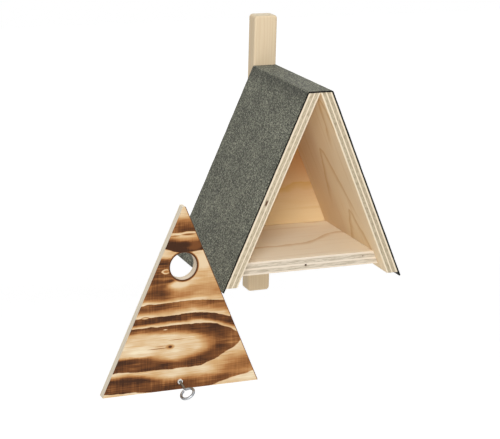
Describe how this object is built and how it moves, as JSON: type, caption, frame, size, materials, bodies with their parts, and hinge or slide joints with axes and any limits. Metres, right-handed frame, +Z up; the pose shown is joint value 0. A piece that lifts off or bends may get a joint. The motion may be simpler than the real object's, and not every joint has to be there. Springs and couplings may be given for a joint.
{
  "type": "bird nest box",
  "caption": "A-shaped plywood nest box with felt-covered sloping sides, a lath for hanging it and a lift-off triangular front with a round entrance, held by an eye screw.",
  "frame": {"origin": "middle of the hanging lath's rear face, on the wall", "axes": "+Z up, +Y back into the wall, +X to the right as seen from the front"},
  "size_m": [0.3438, 0.2144, 0.3652],
  "materials": {
    "plywood": "bare sanded pine plywood with visible plies on its edges",
    "scorched_plywood": "pine plywood scorched with a flame, so that the grain stands out dark brown on honey",
    "planed_spruce": "bare planed spruce with eased edges",
    "roofing_felt": "bitumen felt with a grey-green mineral grit",
    "zinc_steel": "bright zinc plating"
  },
  "bodies": {
    "house": {"side_board_left": "plywood", "side_board_right": "plywood", "floor_board": "plywood", "back_board": "plywood", "floor_nails_left": "zinc_steel", "floor_nails_right": "zinc_steel", "back_nails_left": "zinc_steel", "back_nails_right": "zinc_steel", "roof_felt": "roofing_felt", "hanging_batten": "planed_spruce", "batten_screws": "zinc_steel"},
    "screw_washer": {"screw_washer": "zinc_steel"},
    "front_panel": {"front_panel": "scorched_plywood"},
    "eye_screw": {"eye_screw": "zinc_steel"}
  },
  "joints": [
    {"name": "front_carry", "type": "slide", "parent": "house", "child": "screw_washer", "axis": [0.8405, 0, 0.5418], "range_m": [0, 0.1818]},
    {"name": "front_seat", "type": "slide", "parent": "screw_washer", "child": "front_panel", "axis": [0, 0.9781, 0.2079], "range_m": [0, 0.01871]},
    {"name": "eye_screw_turn", "type": "hinge", "parent": "screw_washer", "child": "eye_screw", "pos_m": [-0.1548, -0.1825, -0.19389], "axis": [0, 0.9781, 0.2079], "continuous": true}
  ]
}
